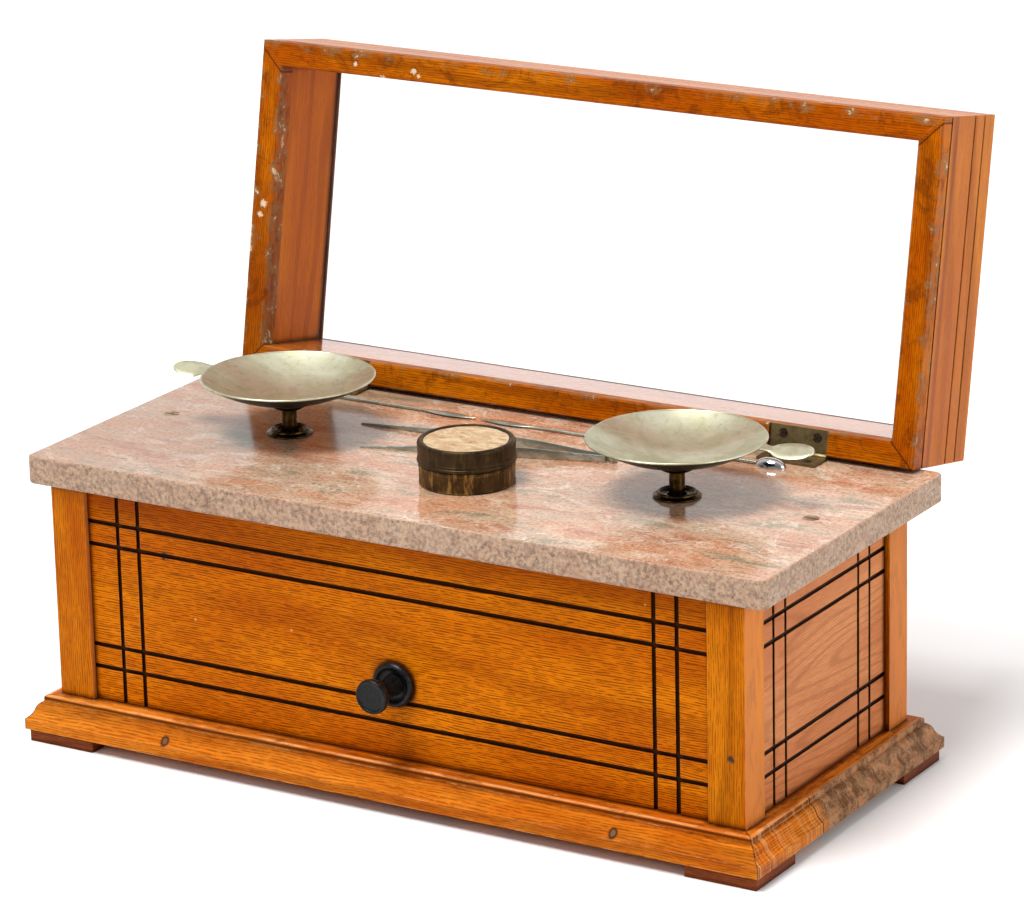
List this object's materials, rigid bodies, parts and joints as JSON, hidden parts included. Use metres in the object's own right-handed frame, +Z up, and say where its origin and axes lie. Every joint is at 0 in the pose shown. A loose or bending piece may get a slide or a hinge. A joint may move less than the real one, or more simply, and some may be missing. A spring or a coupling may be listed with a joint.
{
  "type": "counter balance scale with marble top and glazed lid",
  "caption": "Oak-cased counter balance: marble slab with two round metal pans on short columns, front arrest knob, hinged glazed lid, tin, tweezers and spatulas.",
  "frame": {"origin": "middle of the whole object seen from above, with the lid open, at floor level", "axes": "+X along the case from the left pan to the right pan, +Y from the knob to the hinges, +Z up"},
  "size_m": [0.4024, 0.2678, 0.306],
  "materials": {
    "case_oak": "honey varnish over open grain",
    "lid_oak": "honey varnish, worn at the edges",
    "inner_pine": "bare sawn pine",
    "foot_wood": "reddish stained",
    "marble": "polished top, sawn edges",
    "brass_screws": "dull",
    "hinge_brass": "tarnished",
    "turned_brass": "dark tarnished",
    "pan_metal": "worn nickelled brass",
    "beam_brass": "satin",
    "black_iron": "black lacquer",
    "steel": "bright",
    "agate": "polished",
    "ebonised": "black polish",
    "pad_leather": "soft",
    "glass": "clear",
    "japanned_tin": "worn black lacquer",
    "label_paper": "aged"
  },
  "bodies": {
    "case": {"feet": "foot_wood", "base_board": "inner_pine", "plinth_front": "case_oak", "plinth_rear": "case_oak", "plinth_left": "case_oak", "plinth_right": "case_oak", "panel_front": "case_oak", "panel_rear": "case_oak", "panel_left": "case_oak", "panel_right": "case_oak", "corner_posts": "case_oak", "top_rails": "inner_pine", "glue_blocks": "inner_pine", "marble_top": "marble", "marble_screws": "brass_screws", "column_collars": "turned_brass", "balance_frame": "black_iron", "frame_screws": "steel", "fulcrum_bearings": "agate", "stay_pivot": "steel", "knob_flange": "ebonised", "arrest_guides": "steel", "arrest_springs": "steel", "marble_hinge_leaves": "hinge_brass", "marble_leaf_screws": "brass_screws", "hinge_pins": "brass_screws"},
    "beam_body": {"beam": "beam_brass", "fulcrum_knife": "steel", "beam_end_pins": "steel", "gravity_bob": "turned_brass"},
    "stay_body": {"stay_link": "beam_brass", "stay_pins": "steel"},
    "left_column": {"column_left": "turned_brass", "pan_support_left": "turned_brass"},
    "right_column": {"column_right": "turned_brass", "pan_support_right": "turned_brass"},
    "left_pan": {"pan_left": "pan_metal"},
    "right_pan": {"pan_right": "pan_metal"},
    "knob_body": {"arrest_knob": "ebonised", "arrest_shaft": "steel", "arrest_cam": "black_iron"},
    "arrest_body": {"arrest_bar": "black_iron", "arrest_pads": "pad_leather"},
    "lid": {"lid_wall_front": "lid_oak", "lid_wall_rear": "lid_oak", "lid_wall_left": "lid_oak", "lid_wall_right": "lid_oak", "lid_rim": "lid_oak", "lid_glass": "glass", "glazing_beads": "lid_oak", "lid_hinge_leaves": "hinge_brass", "lid_leaf_screws": "brass_screws"},
    "tin": {"tin_base": "japanned_tin", "tin_weights": "turned_brass"},
    "tin_cover": {"tin_lid": "japanned_tin", "tin_label": "label_paper"},
    "tweezers": {"tweezers_far_arm": "steel"},
    "tweezers_arm": {"tweezers_near_arm": "steel"},
    "left_spatula": {"spatula_left": "steel"},
    "right_spatula": {"spatula_right": "steel"}
  },
  "joints": [
    {"name": "beam_swing", "type": "hinge", "parent": "case", "child": "beam_body", "pos_m": [0, -0.03079, 0.086], "axis": [0, 1, 0], "range_deg": [-1.6, 1.6]},
    {"name": "stay_swing", "type": "hinge", "parent": "case", "child": "stay_body", "pos_m": [0, -0.03079, 0.04], "axis": [0, 1, 0], "range_deg": [-1.65, 1.65]},
    {"name": "left_column_pivot", "type": "hinge", "parent": "beam_body", "child": "left_column", "pos_m": [-0.107, -0.03079, 0.086], "axis": [0, 1, 0], "range_deg": [-1.65, 1.65]},
    {"name": "right_column_pivot", "type": "hinge", "parent": "beam_body", "child": "right_column", "pos_m": [0.107, -0.03079, 0.086], "axis": [0, 1, 0], "range_deg": [-1.65, 1.65]},
    {"name": "left_pan_lift", "type": "slide", "parent": "left_column", "child": "left_pan", "axis": [0, 0, 1], "range_m": [0, 0.03]},
    {"name": "right_pan_lift", "type": "slide", "parent": "right_column", "child": "right_pan", "axis": [0, 0, 1], "range_m": [0, 0.03]},
    {"name": "arrest_knob_turn", "type": "hinge", "parent": "case", "child": "knob_body", "pos_m": [0.0025, -0.1128, 0.0593], "axis": [0, 1, 0], "range_deg": [0, 90.3]},
    {"name": "arrest_bar_rise", "type": "slide", "parent": "case", "child": "arrest_body", "axis": [0, 0, 1], "range_m": [0, 0.0029], "deforming": ["arrest_springs", "arrest_pads"]},
    {"name": "lid_swing", "type": "hinge", "parent": "case", "child": "lid", "pos_m": [0, 0.04791, 0.1439], "axis": [-1, 0, 0], "range_deg": [-100.93, 0]},
    {"name": "tin_lift", "type": "slide", "parent": "case", "child": "tin", "axis": [0, 0, 1], "range_m": [0, 0.03]},
    {"name": "tin_cover_lift", "type": "slide", "parent": "tin", "child": "tin_cover", "axis": [0, 0, 1], "range_m": [0, 0.03]},
    {"name": "tweezers_lift", "type": "slide", "parent": "case", "child": "tweezers", "axis": [0, 0, 1], "range_m": [0, 0.014]},
    {"name": "tweezers_squeeze", "type": "hinge", "parent": "tweezers", "child": "tweezers_arm", "pos_m": [0.055, -0.00139, 0.1443], "axis": [0, 0, -1], "range_deg": [0, 13]},
    {"name": "left_spatula_lift", "type": "slide", "parent": "case", "child": "left_spatula", "axis": [0, 0, 1], "range_m": [0, 0.03]},
    {"name": "right_spatula_lift", "type": "slide", "parent": "case", "child": "right_spatula", "axis": [0, 0, 1], "range_m": [0, 0.03]}
  ],
  "couplings": [
    {"joint": "left_column_pivot", "follows": "beam_swing", "ratio": -1},
    {"joint": "right_column_pivot", "follows": "beam_swing", "ratio": -1},
    {"joint": "stay_swing", "follows": "beam_swing", "ratio": 1},
    {"joint": "arrest_knob_turn", "follows": "arrest_bar_rise", "rad_per_m": 541.65}
  ]
}
